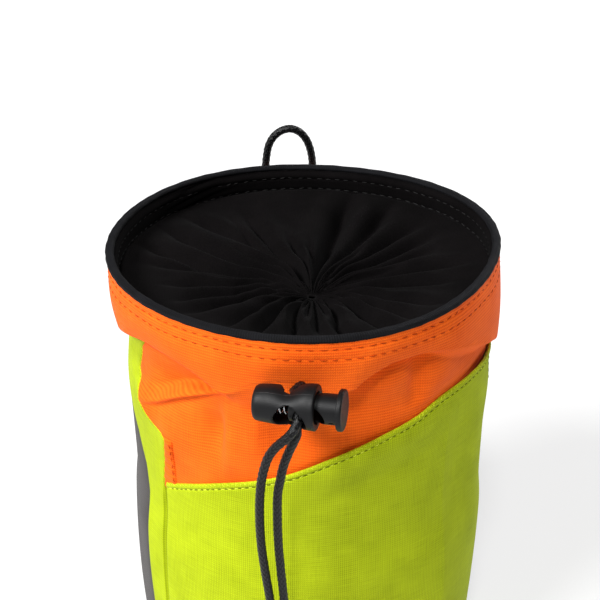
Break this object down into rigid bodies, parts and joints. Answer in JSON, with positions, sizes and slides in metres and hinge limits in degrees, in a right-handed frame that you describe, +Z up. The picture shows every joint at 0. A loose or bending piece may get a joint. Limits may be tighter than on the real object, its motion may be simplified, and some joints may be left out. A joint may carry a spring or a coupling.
{
  "type": "climbing chalk bag",
  "caption": "Round cloth chalk bag with a flared bound rim, a gathered drawstring closure, a sprung cord lock on the drawcord and a hanging loop.",
  "frame": {"origin": "centre of the base's flat underside, on the surface that the bag stands on", "axes": "+Z up towards the mouth, -Y towards the front with the cord lock, +X to the right as seen from the front"},
  "size_m": [0.1215, 0.141, 0.1634],
  "materials": {
    "orange_cloth": "coarse plain-woven polyester, matte",
    "lime_cloth": "coarse plain-woven polyester, matte",
    "grey_cloth": "plain-woven polyester, matte",
    "black_knit": "soft brushed knit, matte",
    "black_binding": "woven binding tape, matte",
    "black_cord": "braided cord with a slight sheen",
    "black_plastic": "moulded, fine matte texture",
    "spring_steel": "bright drawn wire"
  },
  "bodies": {
    "bag": {"rim_piping": "black_binding", "collar_band": "orange_cloth", "rim_facing": "black_knit", "closure": "black_knit", "closure_casing": "black_knit", "front_panel": "orange_cloth", "side_panel_left": "lime_cloth", "side_panel_right": "lime_cloth", "back_panel": "grey_cloth", "front_pocket": "lime_cloth", "base": "grey_cloth", "cord_lock_barrel": "black_plastic", "cord_lock_spring": "spring_steel", "drawcord_left": "black_cord", "drawcord_right": "black_cord", "drawcord_knot": "black_cord", "hang_loop": "black_cord", "loop_tab": "black_binding"},
    "plunger": {"cord_lock_plunger": "black_plastic"}
  },
  "joints": [
    {"name": "plunger_slide", "type": "slide", "parent": "bag", "child": "plunger", "axis": [-0.9701, 0.2383, -0.0454], "range_m": [0, 0.005], "stiffness_N_per_m": 500, "springref_m": -0.002, "deforming": ["cord_lock_spring"]}
  ]
}
